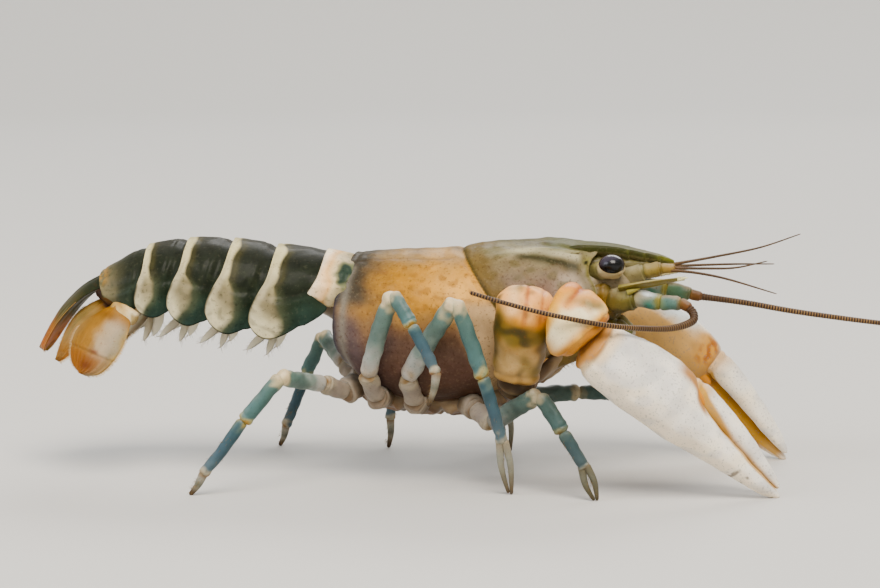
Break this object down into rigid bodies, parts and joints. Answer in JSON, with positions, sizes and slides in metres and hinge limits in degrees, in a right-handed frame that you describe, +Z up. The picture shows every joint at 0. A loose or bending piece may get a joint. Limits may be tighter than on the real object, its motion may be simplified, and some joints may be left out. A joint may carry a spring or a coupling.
{
  "type": "crayfish",
  "caption": "Life-size zebra crayfish standing on a flat floor, with long slender claws held low, a banded tail, a drooping tail fan and long feelers.",
  "frame": {"origin": "middle of the whole animal's box, on the floor it stands on", "axes": "+X towards the head, +Y to the animal's left, +Z up"},
  "size_m": [0.1688, 0.0542, 0.039],
  "materials": {
    "shell_brown": "glossy speckled shell",
    "shell_olive": "glossy speckled shell",
    "belly_cream": "satin shell",
    "tail_green": "glossy banded shell",
    "fan_orange": "thin glossy shell",
    "swimmeret_clear": "thin translucent shell",
    "eye_black": "polished cornea",
    "whip_brown": "satin ringed feeler",
    "arm_orange": "glossy shell",
    "claw_white": "glossy speckled shell",
    "leg_teal": "glossy shell with cream joints",
    "mouth_olive": "satin shell"
  },
  "bodies": {
    "root": {"antenna_base_left": "leg_teal", "antenna_base_right": "leg_teal", "antenna_scale_left": "mouth_olive", "antenna_scale_right": "mouth_olive", "antenna_whip_left_1": "whip_brown", "antenna_whip_left_2": "whip_brown", "antenna_whip_right_1": "whip_brown", "antenna_whip_right_2": "whip_brown", "antennule_left": "whip_brown", "antennule_right": "whip_brown", "claw_arm_left": "arm_orange", "claw_arm_right": "arm_orange", "claw_finger_left": "claw_white", "claw_finger_right": "claw_white", "claw_left": "claw_white", "claw_right": "claw_white", "claw_shoulder_left": "belly_cream", "claw_shoulder_right": "belly_cream", "claw_wrist_left": "arm_orange", "claw_wrist_right": "arm_orange", "eye_left": "eye_black", "eye_right": "eye_black", "head_shield": "shell_olive", "leg2_left_lower": "leg_teal", "leg2_left_upper": "leg_teal", "leg2_right_lower": "leg_teal", "leg2_right_upper": "leg_teal", "leg3_left_lower": "leg_teal", "leg3_left_upper": "leg_teal", "leg3_right_lower": "leg_teal", "leg3_right_upper": "leg_teal", "leg4_left_lower": "leg_teal", "leg4_left_upper": "leg_teal", "leg4_right_lower": "leg_teal", "leg4_right_upper": "leg_teal", "leg5_left_lower": "leg_teal", "leg5_left_upper": "leg_teal", "leg5_right_lower": "leg_teal", "leg5_right_upper": "leg_teal", "maxilliped_left": "mouth_olive", "maxilliped_right": "mouth_olive", "swimmerets_2": "swimmeret_clear", "swimmerets_3": "swimmeret_clear", "swimmerets_4": "swimmeret_clear", "swimmerets_5": "swimmeret_clear", "tail_ring_1": "tail_green", "tail_ring_2": "tail_green", "tail_ring_3": "tail_green", "tail_ring_4": "tail_green", "tail_ring_5": "tail_green", "tail_ring_6": "tail_green", "telson": "fan_orange", "thorax_shield": "shell_brown", "thorax_underside": "belly_cream", "uropod_inner_left": "fan_orange", "uropod_inner_right": "fan_orange", "uropod_outer_left": "fan_orange", "uropod_outer_right": "fan_orange"}
  },
  "joints": []
}
